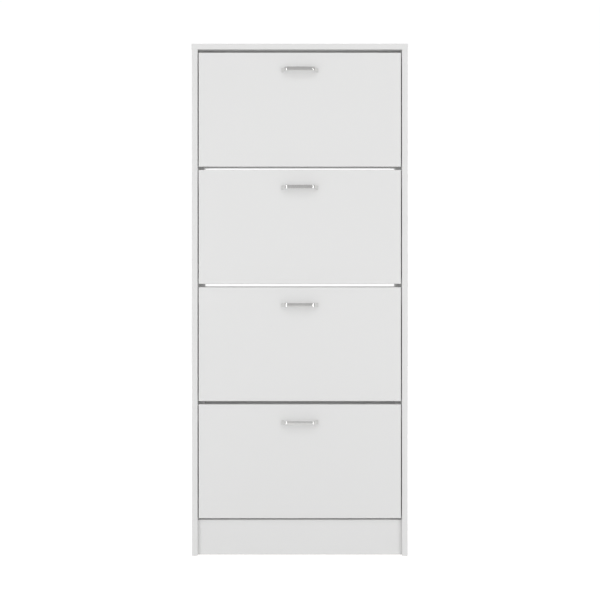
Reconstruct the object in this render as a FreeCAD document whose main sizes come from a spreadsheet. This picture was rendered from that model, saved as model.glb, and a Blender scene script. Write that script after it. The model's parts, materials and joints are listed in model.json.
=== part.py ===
"""Shoe cabinet with four tip-out flaps, each with a two-row shoe pocket behind it.

Every place is measured in the cabinet's own corner frame: x from the left side's outer face,
y back from the front plane of the sides and flaps, z up from the floor. place() turns that
into the model frame, whose origin is on the floor in the middle of the overall box.
"""
import FreeCAD, Part
import math
import os
import Sketcher

FLAP_COUNT = 4
OUT_FOLDER = "parts"

doc = FreeCAD.newDocument("ShoeCabinet")
sheet = doc.addObject("Spreadsheet::Sheet", "Sizes")


# ---------------------------------------------------------------- sizes that carry their rule
class Size:
    """A number together with the spreadsheet rule that gives it."""

    def __init__(self, rule, value):
        self.rule = rule
        self.value = value

    def __add__(self, other):
        return Size(f"({self.rule} + {rule_of(other)})", self.value + value_of(other))

    def __sub__(self, other):
        return Size(f"({self.rule} - {rule_of(other)})", self.value - value_of(other))

    def __rsub__(self, other):
        return Size(f"({rule_of(other)} - {self.rule})", value_of(other) - self.value)

    def __mul__(self, other):
        return Size(f"({self.rule} * {rule_of(other)})", self.value * value_of(other))

    def __truediv__(self, other):
        return Size(f"({self.rule} / {rule_of(other)})", self.value / value_of(other))

    __radd__ = __add__
    __rmul__ = __mul__


def rule_of(thing):
    return thing.rule if isinstance(thing, Size) else str(thing)


def value_of(thing):
    return thing.value if isinstance(thing, Size) else thing


def square_root(size):
    return Size(f"sqrt({size.rule})", math.sqrt(size.value))


def cosine(angle):
    return Size(f"cos({angle.rule})", math.cos(math.radians(angle.value)))


def sine(angle):
    return Size(f"sin({angle.rule})", math.sin(math.radians(angle.value)))


def driving_size(word, value):
    """Write one driving dimension into the next row of the sheet."""
    driving_size.row += 1
    sheet.set(f"A{driving_size.row}", word)
    sheet.set(f"B{driving_size.row}", str(value))
    sheet.setAlias(f"B{driving_size.row}", word)
    return Size(f"Sizes.{word}", value)


driving_size.row = 0

# Carcase
cabinet_width = driving_size("cabinet_width", 606)
cabinet_height = driving_size("cabinet_height", 1438)
cabinet_depth = driving_size("cabinet_depth", 240)
board = driving_size("board", 16)
edge_round = driving_size("edge_round", 0.6)
top_overhang = driving_size("top_overhang", 1)
plinth_height = driving_size("plinth_height", 99)
plinth_recess = driving_size("plinth_recess", 14)
rail_height = driving_size("rail_height", 80)
rail_rise = driving_size("rail_rise", 5)
wall_hole_radius = driving_size("wall_hole_radius", 2.5)
wall_hole_inset = driving_size("wall_hole_inset", 87)

# Flaps and the gaps round them
flap_gap = driving_size("flap_gap", 9.2)
flap_foot_gap = driving_size("flap_foot_gap", 6.5)
flap_side_gap = driving_size("flap_side_gap", 3)

# Pockets behind the flaps
pocket_board = driving_size("pocket_board", 12)
pocket_lift = driving_size("pocket_lift", 20)
pocket_headroom = driving_size("pocket_headroom", 136)
swing_room = driving_size("swing_room", 32)

# Side arms, pivots and stops
arm_web = driving_size("arm_web", 4)
arm_flange = driving_size("arm_flange", 4)
arm_flange_width = driving_size("arm_flange_width", 20)
arm_cover = driving_size("arm_cover", 8)
rib = driving_size("rib", 3)
rib_reach = driving_size("rib_reach", 8)
ledge_length = driving_size("ledge_length", 110)
pivot_setback = driving_size("pivot_setback", 8)
pivot_lift = driving_size("pivot_lift", 50)
pivot_radius = driving_size("pivot_radius", 5)
pivot_reach = driving_size("pivot_reach", 9)
running_clearance = driving_size("running_clearance", 0.05)
bush_wall = driving_size("bush_wall", 2)
bush_length = driving_size("bush_length", 10.5)
bush_flange = driving_size("bush_flange", 1.2)
bush_flange_radius = driving_size("bush_flange_radius", 10)
flap_swing = driving_size("flap_swing", 45)
slot_radius = driving_size("slot_radius", 60)
slot_rest_angle = driving_size("slot_rest_angle", 75)
slot_clearance = driving_size("slot_clearance", 0.4)
stop_pin_radius = driving_size("stop_pin_radius", 3)
stop_pin_seat = driving_size("stop_pin_seat", 10)
stop_pin_reach = driving_size("stop_pin_reach", 3.5)

# Bow handles
handle_spacing = driving_size("handle_spacing", 96)
handle_drop = driving_size("handle_drop", 50)
handle_projection = driving_size("handle_projection", 26)
handle_lean = driving_size("handle_lean", 69)
handle_bend = driving_size("handle_bend", 11)
grip_height = driving_size("grip_height", 10.4)
grip_thickness = driving_size("grip_thickness", 6)
grip_round = driving_size("grip_round", 2.6)
foot_radius = driving_size("foot_radius", 5)
foot_length = driving_size("foot_length", 10)
leg_spare = driving_size("leg_spare", 2)

# Fastenings
hole_clearance = driving_size("hole_clearance", 0.1)
hole_end_room = driving_size("hole_end_room", 0.3)
cam_setback = driving_size("cam_setback", 34)
cam_radius = driving_size("cam_radius", 7.4)
cam_thickness = driving_size("cam_thickness", 12.4)
cam_bolt_radius = driving_size("cam_bolt_radius", 3)
cam_bolt_seat = driving_size("cam_bolt_seat", 11)
cam_bolt_bore = driving_size("cam_bolt_bore", 3.5)
wood_dowel_radius = driving_size("wood_dowel_radius", 4)
wood_dowel_seat = driving_size("wood_dowel_seat", 11)
wood_dowel_reach = driving_size("wood_dowel_reach", 19)
joint_inset = driving_size("joint_inset", 37)
rail_joint_inset = driving_size("rail_joint_inset", 24)
arm_screw_radius = driving_size("arm_screw_radius", 1.75)
arm_screw_length = driving_size("arm_screw_length", 15)
arm_screw_head = driving_size("arm_screw_head", 3.5)
arm_screw_inset = driving_size("arm_screw_inset", 12)
handle_screw_radius = driving_size("handle_screw_radius", 2)
handle_screw_grip = driving_size("handle_screw_grip", 8)
handle_screw_head = driving_size("handle_screw_head", 4)
screw_head_height = driving_size("screw_head_height", 2.2)

# Sizes that follow from them
inner_width = cabinet_width - 2 * board
side_height = cabinet_height - board
flap_width = inner_width - 2 * flap_side_gap
flap_room = side_height - plinth_height - flap_foot_gap
flap_pitch = flap_room / FLAP_COUNT
flap_height = flap_pitch - flap_gap
pocket_depth = cabinet_depth - 2 * board - swing_room
pocket_width = flap_width - 2 * arm_web
pocket_top = flap_height - pocket_headroom
pocket_floor_top = pocket_lift + pocket_board
ledge_foot = pocket_lift - rib
ledge_end = board + ledge_length
pivot_depth = board + pivot_setback
arm_rear = board + pocket_depth + rib
arm_back_top = pocket_top + arm_cover
arm_radius = square_root((arm_rear - pivot_depth) * (arm_rear - pivot_depth)
                         + (arm_back_top - pivot_lift) * (arm_back_top - pivot_lift))
arm_top = pivot_lift + arm_radius
bush_radius = pivot_radius + running_clearance + bush_wall
ZERO = Size("0", 0)


# ---------------------------------------------------------------- small modelling helpers
def place(thing, corner, rotation=None):
    """Put an object at a point of the corner frame."""
    if rotation is not None:
        thing.Placement = FreeCAD.Placement(FreeCAD.Vector(), rotation)
    x, y, z = corner
    thing.setExpression("Placement.Base.x", (x - cabinet_width / 2).rule)
    thing.setExpression("Placement.Base.y", (y + (handle_projection - cabinet_depth) / 2).rule)
    thing.setExpression("Placement.Base.z", rule_of(z))


def shifted(point, direction, distance):
    """A point moved along a unit direction whose entries are -1, 0 or 1."""
    return tuple(p + distance * d if d else p for p, d in zip(point, direction))


def sketch_on(body, role, offset=ZERO):
    """A sketch on one of a body's own origin planes, moved along the plane's normal."""
    sketch = body.newObject("Sketcher::SketchObject", "Sketch")
    plane = [feature for feature in body.Origin.OriginFeatures if feature.Role == role][0]
    sketch.AttachmentSupport = (plane, [""])
    sketch.MapMode = "FlatFace"
    sketch.AttachmentOffset = FreeCAD.Placement(FreeCAD.Vector(0, 0, offset.value),
                                                FreeCAD.Rotation())
    sketch.setExpression("AttachmentOffset.Base.z", offset.rule)
    return sketch


def hold(sketch, kind, *where_and_size):
    """Add a dimension whose last argument is a Size, bound to its rule."""
    size = where_and_size[-1]
    index = sketch.addConstraint(Sketcher.Constraint(kind, *where_and_size[:-1], size.value))
    sketch.setExpression(f"Constraints[{index}]", size.rule)


def hold_point(sketch, shape, corner, spot):
    """Fix a point of a shape by its two distances from the sketch's origin."""
    hold(sketch, "DistanceX", -1, 1, shape, corner, spot[0])
    hold(sketch, "DistanceY", -1, 1, shape, corner, spot[1])


def vector(spot):
    return FreeCAD.Vector(value_of(spot[0]), value_of(spot[1]), 0)


def outline(sketch, corners):
    """A closed outline of straight lines through the given corners."""
    first = None
    for number, corner in enumerate(corners):
        following = corners[(number + 1) % len(corners)]
        line = sketch.addGeometry(Part.LineSegment(vector(corner), vector(following)))
        hold_point(sketch, line, 1, corner)
        if first is None:
            first = line
        else:
            sketch.addConstraint(Sketcher.Constraint("Coincident", line - 1, 2, line, 1))
    sketch.addConstraint(Sketcher.Constraint("Coincident", line, 2, first, 1))


def rectangle(sketch, low, high):
    outline(sketch, [low, (high[0], low[1]), high, (low[0], high[1])])


def circle(sketch, centre, radius):
    ring = sketch.addGeometry(Part.Circle(vector(centre), FreeCAD.Vector(0, 0, 1), radius.value))
    hold_point(sketch, ring, 3, centre)
    hold(sketch, "Radius", ring, radius)


def feature(body, kind, sketch, length, backwards=False):
    """A pad or pocket of a sketch."""
    made = body.newObject("PartDesign::" + kind, kind)
    made.Profile = sketch
    made.setExpression("Length", length.rule)
    made.Reversed = backwards
    return made


def new_body(label, corner, rotation=None):
    body = doc.addObject("PartDesign::Body", label)
    body.Label = label
    place(body, corner, rotation)
    return body


# ---------------------------------------------------------------- boards and their holes
corner_of = {}
extent_of = {}


def make_board(label, corner, extent):
    """A cut board with lightly rounded edges."""
    body = new_body(label, corner)
    sketch = sketch_on(body, "XY_Plane")
    rectangle(sketch, (ZERO, ZERO), (extent[0], extent[1]))
    pad = feature(body, "Pad", sketch, extent[2])
    doc.recompute()
    rounding = body.newObject("PartDesign::Fillet", "Rounding")
    rounding.Base = (pad, [f"Edge{number + 1}" for number in range(len(pad.Shape.Edges))])
    rounding.setExpression("Radius", edge_round.rule)
    corner_of[label] = corner
    extent_of[label] = extent
    return body


# Face of a board: plane it is drilled from, its two axes, and whether the cut runs backwards
FACES = {
    "left": ("YZ_Plane", 1, 2, True),
    "right": ("YZ_Plane", 1, 2, False),
    "under": ("XY_Plane", 0, 1, True),
    "top": ("XY_Plane", 0, 1, False),
    "front": ("XZ_Plane", 0, 2, False),
    "back": ("XZ_Plane", 0, 2, True),
}


def face_offset(label, face):
    """Distance of a face from its origin plane, along that plane's normal."""
    width, depth, height = extent_of[label]
    return {"right": width, "top": height, "back": -1 * depth}.get(face, ZERO)


def drill(body, face, spots, radius, depth):
    """Drill one size of hole at spots of the corner frame into one face of a board."""
    role, across, along, backwards = FACES[face]
    corner = corner_of[body.Label]
    sketch = sketch_on(body, role, face_offset(body.Label, face))
    for spot in spots:
        circle(sketch, (spot[across] - corner[across], spot[along] - corner[along]), radius)
    feature(body, "Pocket", sketch, depth, backwards)


# ---------------------------------------------------------------- hardware made of turned solids
hardware = {}


def rod(start, direction, radius, length):
    """A round bar from a point of the corner frame along a direction."""
    bar = doc.addObject("Part::Cylinder", "Rod")
    bar.setExpression("Radius", radius.rule)
    bar.setExpression("Height", length.rule)
    place(bar, start, FreeCAD.Rotation(FreeCAD.Vector(0, 0, 1), FreeCAD.Vector(*direction)))
    return bar


def join(*shapes):
    fused = doc.addObject("Part::MultiFuse", "Joined")
    fused.Shapes = list(shapes)
    return fused


def cut(base, tool):
    remainder = doc.addObject("Part::Cut", "Bored")
    remainder.Base = base
    remainder.Tool = tool
    return remainder


def add_hardware(group, piece):
    hardware.setdefault(group, []).append(piece)


def screw(group, seat, direction, radius, length, head_radius):
    """A pan-head screw: its head sits on the seat point and its shank runs along direction."""
    back = tuple(-d for d in direction)
    shank = rod(seat, direction, radius, length)
    head = rod(seat, back, head_radius, screw_head_height)
    add_hardware(group, join(shank, head))


def cam_joint(joint_point, inward, mouth):
    """A bolt screwed into one board and held in the other by a turning cam lock."""
    seat = shifted(joint_point, inward, -1 * cam_bolt_seat)
    add_hardware("cam_bolts", rod(seat, inward, cam_bolt_radius, cam_bolt_seat + cam_setback - 1))
    centre = shifted(joint_point, inward, cam_setback)
    into_board = tuple(-m for m in mouth)
    lock = rod(shifted(centre, mouth, board / 2), into_board, cam_radius, cam_thickness)
    bolt_way = rod(shifted(centre, inward, -1 * cam_radius - 1), inward,
                   cam_bolt_bore, cam_radius + 2)
    add_hardware("cam_locks", cut(lock, bolt_way))


def wood_dowel(joint_point, inward):
    """A beech pin that lines two boards up across a joint."""
    start = shifted(joint_point, inward, -1 * wood_dowel_seat)
    add_hardware("wood_dowels",
                 rod(start, inward, wood_dowel_radius, wood_dowel_seat + wood_dowel_reach))


# ---------------------------------------------------------------- carcase
right_joint = cabinet_width - board
ENDS = [("left", board, (1, 0, 0)), ("right", right_joint, (-1, 0, 0))]
OUTWARD = {"under": (0, 0, -1), "back": (0, 1, 0)}
bolt_spots = []
dowel_spots = []


def fix_between_sides(body, bolts, dowels, mouth):
    """Join a cross board's two ends to the sides with cam joints and wood dowels."""
    label = body.Label
    for end, joint_x, inward in ENDS:
        bolt_points = [(joint_x, y, z) for y, z in bolts]
        dowel_points = [(joint_x, y, z) for y, z in dowels]
        drill(body, end, bolt_points, cam_bolt_bore, cam_setback)
        drill(body, end, dowel_points, wood_dowel_radius + hole_clearance,
              wood_dowel_reach + hole_end_room)
        for point in bolt_points:
            cam_joint(point, inward, OUTWARD[mouth])
        for point in dowel_points:
            wood_dowel(point, inward)
    cams = [(x, y, z) for y, z in bolts
            for x in (board + cam_setback, right_joint - cam_setback)]
    drill(body, mouth, cams, cam_radius + hole_clearance, cam_thickness + hole_end_room)
    bolt_spots.extend(bolts)
    dowel_spots.extend(dowels)


side_left = make_board("side_left", (ZERO, ZERO, ZERO), (board, cabinet_depth, side_height))
side_right = make_board("side_right", (right_joint, ZERO, ZERO),
                        (board, cabinet_depth, side_height))
top_panel = make_board("top_panel", (-1 * top_overhang, ZERO, side_height),
                       (cabinet_width + 2 * top_overhang, cabinet_depth, board))

plinth = make_board("plinth", (board, plinth_recess, ZERO), (inner_width, board, plinth_height))
plinth_middle = plinth_recess + board / 2
fix_between_sides(plinth, [(plinth_middle, plinth_height / 4)],
                  [(plinth_middle, plinth_height / 2)], "back")

bottom_front = plinth_recess + board
bottom_panel = make_board("bottom_panel", (board, bottom_front, plinth_height - board),
                          (inner_width, cabinet_depth - bottom_front, board))
bottom_middle = plinth_height - board / 2
fix_between_sides(bottom_panel,
                  [(bottom_front + joint_inset, bottom_middle),
                   (cabinet_depth - joint_inset, bottom_middle)],
                  [((bottom_front + cabinet_depth) / 2, bottom_middle)], "under")


def flap_foot(number):
    """Height of the bottom edge of a flap, counted from the top."""
    return side_height - flap_pitch * number


def add_rail(label, top):
    """A cross board at the open back, held by one cam joint and one dowel at each end."""
    middle = cabinet_depth - board / 2
    rail = make_board(label, (board, cabinet_depth - board, top - rail_height),
                      (inner_width, board, rail_height))
    fix_between_sides(rail, [(middle, top - rail_joint_inset)],
                      [(middle, top - rail_height + rail_joint_inset)], "back")
    return rail


rail_top = add_rail("rear_rail_1", side_height)
wall_height = side_height - rail_height / 2
wall_spots = [(x, cabinet_depth, wall_height)
              for x in (board + wall_hole_inset, right_joint - wall_hole_inset)]
drill(rail_top, "back", wall_spots, wall_hole_radius, board)
for number in range(2, FLAP_COUNT + 1):
    add_rail(f"rear_rail_{number}", flap_foot(number) + flap_height + rail_rise)

# The top lies on the sides: bolts hang from its underside into the sides' top edges
top_joint_depths = (joint_inset, cabinet_depth - joint_inset)
down = (0, 0, -1)
for side, edge_x, inner_face, mouth in ((side_left, board / 2, "right", (1, 0, 0)),
                                        (side_right, right_joint + board / 2, "left", (-1, 0, 0))):
    bolt_points = [(edge_x, y, side_height) for y in top_joint_depths]
    dowel_point = (edge_x, cabinet_depth / 2, side_height)
    for point in bolt_points:
        cam_joint(point, down, mouth)
    wood_dowel(dowel_point, down)
    drill(side, "top", bolt_points, cam_bolt_bore, cam_setback)
    drill(side, "top", [dowel_point], wood_dowel_radius + hole_clearance,
          wood_dowel_reach + hole_end_room)
    drill(side, inner_face, [(edge_x, y, side_height - cam_setback) for y in top_joint_depths],
          cam_radius + hole_clearance, cam_thickness + hole_end_room)
    drill(top_panel, "under", bolt_points, cam_bolt_radius + hole_clearance,
          cam_bolt_seat + hole_end_room)
    drill(top_panel, "under", [dowel_point], wood_dowel_radius + hole_clearance,
          wood_dowel_seat + hole_end_room)
    drill(side, inner_face, [(edge_x, y, z) for y, z in bolt_spots],
          cam_bolt_radius + hole_clearance, cam_bolt_seat + hole_end_room)
    drill(side, inner_face, [(edge_x, y, z) for y, z in dowel_spots],
          wood_dowel_radius + hole_clearance, wood_dowel_seat + hole_end_room)


# ---------------------------------------------------------------- pivots and stops in the sides
def pivot_point(number, x):
    return (x, pivot_depth, flap_foot(number) + pivot_lift)


def stop_point(number, x):
    """Where a stop pin stands: the closed end of the arm's curved slot."""
    return (x, pivot_depth + slot_radius * cosine(slot_rest_angle),
            flap_foot(number) + pivot_lift + slot_radius * sine(slot_rest_angle))


numbers = range(1, FLAP_COUNT + 1)
for side, inner_x, inner_face, inward in ((side_left, board, "right", (1, 0, 0)),
                                          (side_right, right_joint, "left", (-1, 0, 0))):
    outward = tuple(-i for i in inward)
    for number in numbers:
        point = pivot_point(number, inner_x)
        rim = shifted(point, inward, bush_flange)
        sleeve = rod(rim, outward, bush_radius, bush_flange + bush_length)
        flange = rod(rim, outward, bush_flange_radius, bush_flange)
        bore = rod(rim, outward, pivot_radius + running_clearance, bush_flange + bush_length)
        add_hardware("pivot_bushes", cut(join(sleeve, flange), bore))
        seat = shifted(stop_point(number, inner_x), outward, stop_pin_seat)
        add_hardware("stop_pins", rod(seat, inward, stop_pin_radius,
                                      stop_pin_seat + flap_side_gap + stop_pin_reach))
    drill(side, inner_face, [pivot_point(number, inner_x) for number in numbers],
          bush_radius + hole_clearance, bush_length + hole_end_room)
    drill(side, inner_face, [stop_point(number, inner_x) for number in numbers],
          stop_pin_radius + hole_clearance, stop_pin_seat + hole_end_room)


# ---------------------------------------------------------------- moulded side arms
def arm_outline(sketch):
    """A foot that steps up behind its ledge, an upright back, an arc about the pivot, a level top."""
    front_foot = (board, ledge_foot)
    step_foot = (ledge_end - rib, ledge_foot)
    step_top = (ledge_end, pocket_lift)
    rear_foot = (arm_rear, pocket_lift)
    rear_top = (arm_rear, arm_back_top)
    over_pivot = (pivot_depth, arm_top)
    front_top = (board, arm_top)
    lines = [sketch.addGeometry(Part.LineSegment(vector(start), vector(end)))
             for start, end in ((front_foot, step_foot), (step_foot, step_top),
                                (step_top, rear_foot), (rear_foot, rear_top))]
    hub = (pivot_depth, pivot_lift)
    rise = arm_back_top - pivot_lift
    start_angle = math.atan2(rise.value, (arm_rear - pivot_depth).value)
    ring = Part.Circle(vector(hub), FreeCAD.Vector(0, 0, 1), arm_radius.value)
    arc = sketch.addGeometry(Part.ArcOfCircle(ring, start_angle, math.pi / 2))
    lines += [sketch.addGeometry(Part.LineSegment(vector(start), vector(end)))
              for start, end in ((over_pivot, front_top), (front_top, front_foot))]
    foot, step, rear_edge, back, top, front = lines
    joints = ((foot, 2, step, 1), (step, 2, rear_edge, 1), (rear_edge, 2, back, 1),
              (back, 2, arc, 1), (arc, 2, top, 1), (top, 2, front, 1), (front, 2, foot, 1))
    for joint in joints:
        sketch.addConstraint(Sketcher.Constraint("Coincident", *joint))
    hold_point(sketch, foot, 1, front_foot)
    hold_point(sketch, step, 1, step_foot)
    hold_point(sketch, step, 2, step_top)
    hold_point(sketch, back, 1, rear_foot)
    hold_point(sketch, back, 2, rear_top)
    hold_point(sketch, arc, 3, hub)
    hold(sketch, "DistanceX", -1, 1, arc, 2, pivot_depth)
    hold(sketch, "DistanceX", -1, 1, front, 1, board)
    sketch.addConstraint(Sketcher.Constraint("Horizontal", top))


def curved_slot(sketch):
    """A round-ended slot about the pivot, as long as the flap's swing."""
    hub = (pivot_depth, pivot_lift)
    half_width = stop_pin_radius + slot_clearance
    high = math.radians(slot_rest_angle.value)
    low = high - math.radians(flap_swing.value)
    open_angle = slot_rest_angle - flap_swing
    closed_end = (pivot_depth + slot_radius * cosine(slot_rest_angle),
                  pivot_lift + slot_radius * sine(slot_rest_angle))
    open_end = (pivot_depth + slot_radius * cosine(open_angle),
                pivot_lift + slot_radius * sine(open_angle))

    def arc(centre, radius, start, end):
        ring = Part.Circle(vector(centre), FreeCAD.Vector(0, 0, 1), radius.value)
        return sketch.addGeometry(Part.ArcOfCircle(ring, start, end))

    outer = arc(hub, slot_radius + half_width, low, high)
    inner = arc(hub, slot_radius - half_width, low, high)
    closed_cap = arc(closed_end, half_width, high, high + math.pi)
    open_cap = arc(open_end, half_width, low + math.pi, low + 2 * math.pi)
    sketch.addConstraint(Sketcher.Constraint("Coincident", outer, 3, inner, 3))
    hold_point(sketch, outer, 3, hub)
    hold(sketch, "Radius", outer, slot_radius + half_width)
    hold(sketch, "Radius", inner, slot_radius - half_width)
    for joint in ((outer, 2, closed_cap, 1), (inner, 2, closed_cap, 2),
                  (outer, 1, open_cap, 2), (inner, 1, open_cap, 1)):
        sketch.addConstraint(Sketcher.Constraint("Tangent", *joint))
    hold(sketch, "DistanceX", -1, 1, closed_cap, 3, closed_end[0])
    hold(sketch, "DistanceY", -1, 1, open_cap, 3, open_end[1])


def rib_outlines(sketch):
    """Ledge under the floor board, the rear rib, and the ribs beside the upright boards."""
    rear = board + pocket_depth
    outline(sketch, [(board, ledge_foot), (ledge_end - rib, ledge_foot),
                     (ledge_end, pocket_lift), (board, pocket_lift)])
    rectangle(sketch, (rear, pocket_lift), (arm_rear, pocket_top))
    for front in (divider_front - rib, divider_front + pocket_board, rear - pocket_board - rib):
        rectangle(sketch, (front, pocket_floor_top), (front + rib, pocket_top))


def arm_screw_heights():
    low = pocket_floor_top + arm_screw_inset
    high = arm_top - arm_screw_inset
    return (low, (low + high) / 2, high)


def make_arm(label, corner, hand):
    """One side arm: hand is 1 for the left arm and -1 for its mirror image on the right."""
    body = new_body(label, corner)
    right_hand = hand < 0
    sketch = sketch_on(body, "YZ_Plane")
    arm_outline(sketch)
    feature(body, "Pad", sketch, arm_web, right_hand)
    sketch = sketch_on(body, "YZ_Plane")
    curved_slot(sketch)
    feature(body, "Pocket", sketch, arm_web, not right_hand)
    sketch = sketch_on(body, "YZ_Plane", hand * arm_web)
    rib_outlines(sketch)
    feature(body, "Pad", sketch, rib_reach, right_hand)
    sketch = sketch_on(body, "YZ_Plane", hand * arm_web)
    rectangle(sketch, (board, pocket_floor_top), (board + arm_flange, arm_top))
    feature(body, "Pad", sketch, arm_flange_width - arm_web, right_hand)
    sketch = sketch_on(body, "YZ_Plane")
    circle(sketch, (pivot_depth, pivot_lift), pivot_radius)
    feature(body, "Pad", sketch, flap_side_gap + pivot_reach, not right_hand)
    sketch = sketch_on(body, "XZ_Plane", -1 * board)
    for height in arm_screw_heights():
        circle(sketch, (hand * arm_flange_width / 2, height), arm_screw_radius + hole_clearance)
    feature(body, "Pocket", sketch, arm_flange)


# ---------------------------------------------------------------- bow handle
def half_handle_path(sketch):
    """Half of the grip, a bend and a leaning leg that runs on past the door."""
    grip_line = handle_projection - grip_thickness / 2
    lean = math.radians(handle_lean.value)
    cotangent = cosine(handle_lean) / sine(handle_lean)
    foot = (handle_spacing / 2, ZERO)
    leg_end = (handle_spacing / 2 + leg_spare * cotangent, -1 * leg_spare)
    shoulder = handle_bend.value * math.tan(lean / 2)
    corner_x = foot[0].value - grip_line.value * cotangent.value
    bend_centre = FreeCAD.Vector(corner_x - shoulder, grip_line.value - handle_bend.value, 0)
    ring = Part.Circle(bend_centre, FreeCAD.Vector(0, 0, 1), handle_bend.value)
    arc = Part.ArcOfCircle(ring, math.pi / 2 - lean, math.pi / 2)
    grip = sketch.addGeometry(Part.LineSegment(vector((0, grip_line)), arc.EndPoint))
    bend = sketch.addGeometry(arc)
    leg = sketch.addGeometry(Part.LineSegment(arc.StartPoint, vector(leg_end)))
    sketch.addConstraint(Sketcher.Constraint("Tangent", grip, 2, bend, 2))
    sketch.addConstraint(Sketcher.Constraint("Tangent", bend, 1, leg, 1))
    sketch.addConstraint(Sketcher.Constraint("Horizontal", grip))
    hold_point(sketch, grip, 1, (ZERO, grip_line))
    hold(sketch, "Radius", bend, handle_bend)
    hold_point(sketch, leg, 2, leg_end)
    shoulder_lift = grip_line - handle_bend + handle_bend * cosine(handle_lean)
    hold(sketch, "DistanceX", leg, 1, leg, 2, (shoulder_lift + leg_spare) * cotangent)


def runs_along_bar(edge):
    """True for the long edges of the bar, not those that cross it or end it."""
    return edge.BoundBox.ZLength < 0.1 and edge.BoundBox.YMax > 0


def make_handle(label, corner):
    """A flat bar bent to a bow, with a round boss for its screw in each foot."""
    body = new_body(label, corner, FreeCAD.Rotation(FreeCAD.Vector(0, 0, 1), 180))
    path = sketch_on(body, "XY_Plane")
    half_handle_path(path)
    section = sketch_on(body, "YZ_Plane")
    rectangle(section, (handle_projection - grip_thickness, -1 * grip_height / 2),
              (handle_projection, grip_height / 2))
    sweep = body.newObject("PartDesign::AdditivePipe", "Bow")
    sweep.Profile = section
    sweep.Spine = (path, [])
    mirror = body.newObject("PartDesign::Mirrored", "OtherHalf")
    mirror.Originals = [sweep]
    plane = [feature for feature in body.Origin.OriginFeatures if feature.Role == "YZ_Plane"][0]
    mirror.MirrorPlane = (plane, [""])
    body.Tip = mirror
    doc.recompute()
    rounding = body.newObject("PartDesign::Fillet", "Rounding")
    rounding.Base = (mirror, [f"Edge{number + 1}" for number, edge
                              in enumerate(mirror.Shape.Edges) if runs_along_bar(edge)])
    rounding.setExpression("Radius", grip_round.rule)
    sketch = sketch_on(body, "XZ_Plane")
    rectangle(sketch, (-1 * handle_spacing, -1 * grip_height), (handle_spacing, grip_height))
    feature(body, "Pocket", sketch, 2 * leg_spare + grip_thickness, True)
    feet = [(-1 * handle_spacing / 2, ZERO), (handle_spacing / 2, ZERO)]
    sketch = sketch_on(body, "XZ_Plane")
    for foot in feet:
        circle(sketch, foot, foot_radius)
    feature(body, "Pad", sketch, foot_length, True)
    sketch = sketch_on(body, "XZ_Plane")
    for foot in feet:
        circle(sketch, foot, handle_screw_radius + hole_clearance)
    feature(body, "Pocket", sketch, handle_screw_grip + hole_end_room)


# ---------------------------------------------------------------- the four flap units
divider_front = board + (pocket_depth - 2 * pocket_board) / 2
flap_left = board + flap_side_gap
flap_right = right_joint - flap_side_gap
handle_feet = (cabinet_width / 2 - handle_spacing / 2, cabinet_width / 2 + handle_spacing / 2)

for number in numbers:
    foot = flap_foot(number)
    flap = make_board(f"flap_{number}", (flap_left, ZERO, foot), (flap_width, board, flap_height))
    handle_height = foot + flap_height - handle_drop
    drill(flap, "back", [(x, board, handle_height) for x in handle_feet],
          handle_screw_radius + hole_clearance, board)
    screw_columns = (flap_left + arm_flange_width / 2, flap_right - arm_flange_width / 2)
    screw_spots = [(x, board, foot + height) for x in screw_columns
                   for height in arm_screw_heights()]
    drill(flap, "back", screw_spots, arm_screw_radius + hole_clearance,
          arm_screw_length - arm_flange + hole_end_room)

    make_arm(f"arm_left_{number}", (flap_left, ZERO, foot), 1)
    make_arm(f"arm_right_{number}", (flap_right, ZERO, foot), -1)
    for x, y, z in screw_spots:
        screw(f"arm_screws_{number}", (x, board + arm_flange, z), (0, -1, 0),
              arm_screw_radius, arm_screw_length, arm_screw_head)

    make_handle(f"handle_{number}", (cabinet_width / 2, ZERO, handle_height))
    for x in handle_feet:
        screw(f"handle_screws_{number}", (x, board, handle_height), (0, -1, 0),
              handle_screw_radius, board + handle_screw_grip, handle_screw_head)

    pocket_left = flap_left + arm_web
    wall_foot = foot + pocket_floor_top
    wall_height = pocket_top - pocket_floor_top
    make_board(f"pocket_floor_{number}", (pocket_left, board, foot + pocket_lift),
               (pocket_width, pocket_depth, pocket_board))
    make_board(f"pocket_back_{number}",
               (pocket_left, board + pocket_depth - pocket_board, wall_foot),
               (pocket_width, pocket_board, wall_height))
    make_board(f"divider_{number}", (pocket_left, divider_front, wall_foot),
               (pocket_width, pocket_board, wall_height))

for group, pieces in hardware.items():
    bundle = doc.addObject("Part::Compound", group)
    bundle.Label = group
    bundle.Links = pieces


# ---------------------------------------------------------------- checks and export
doc.recompute()
for thing in doc.Objects:
    if "Invalid" in thing.State or "Error" in thing.State:
        raise RuntimeError(f"{thing.Label} of {thing.TypeId} failed: {thing.State}")
    if thing.TypeId == "PartDesign::Pocket":
        if thing.Shape.Volume >= thing.BaseFeature.Shape.Volume:
            raise RuntimeError(f"{thing.Label} removes nothing")

os.makedirs(OUT_FOLDER, exist_ok=True)
kept_bodies = [thing for thing in doc.Objects if thing.TypeId == "PartDesign::Body"]
kept_groups = [thing for thing in doc.Objects if thing.TypeId == "Part::Compound"]
for piece in kept_bodies + kept_groups:
    if piece.Shape.isNull() or not piece.Shape.isValid():
        raise RuntimeError(f"{piece.Label} is not a valid solid")
    piece.Shape.exportStep(f"{OUT_FOLDER}/{piece.Label}.step")
print(len(kept_bodies + kept_groups), "pieces written")
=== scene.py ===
import json
import math

import bmesh
import bpy
from mathutils import Matrix, Vector


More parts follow.
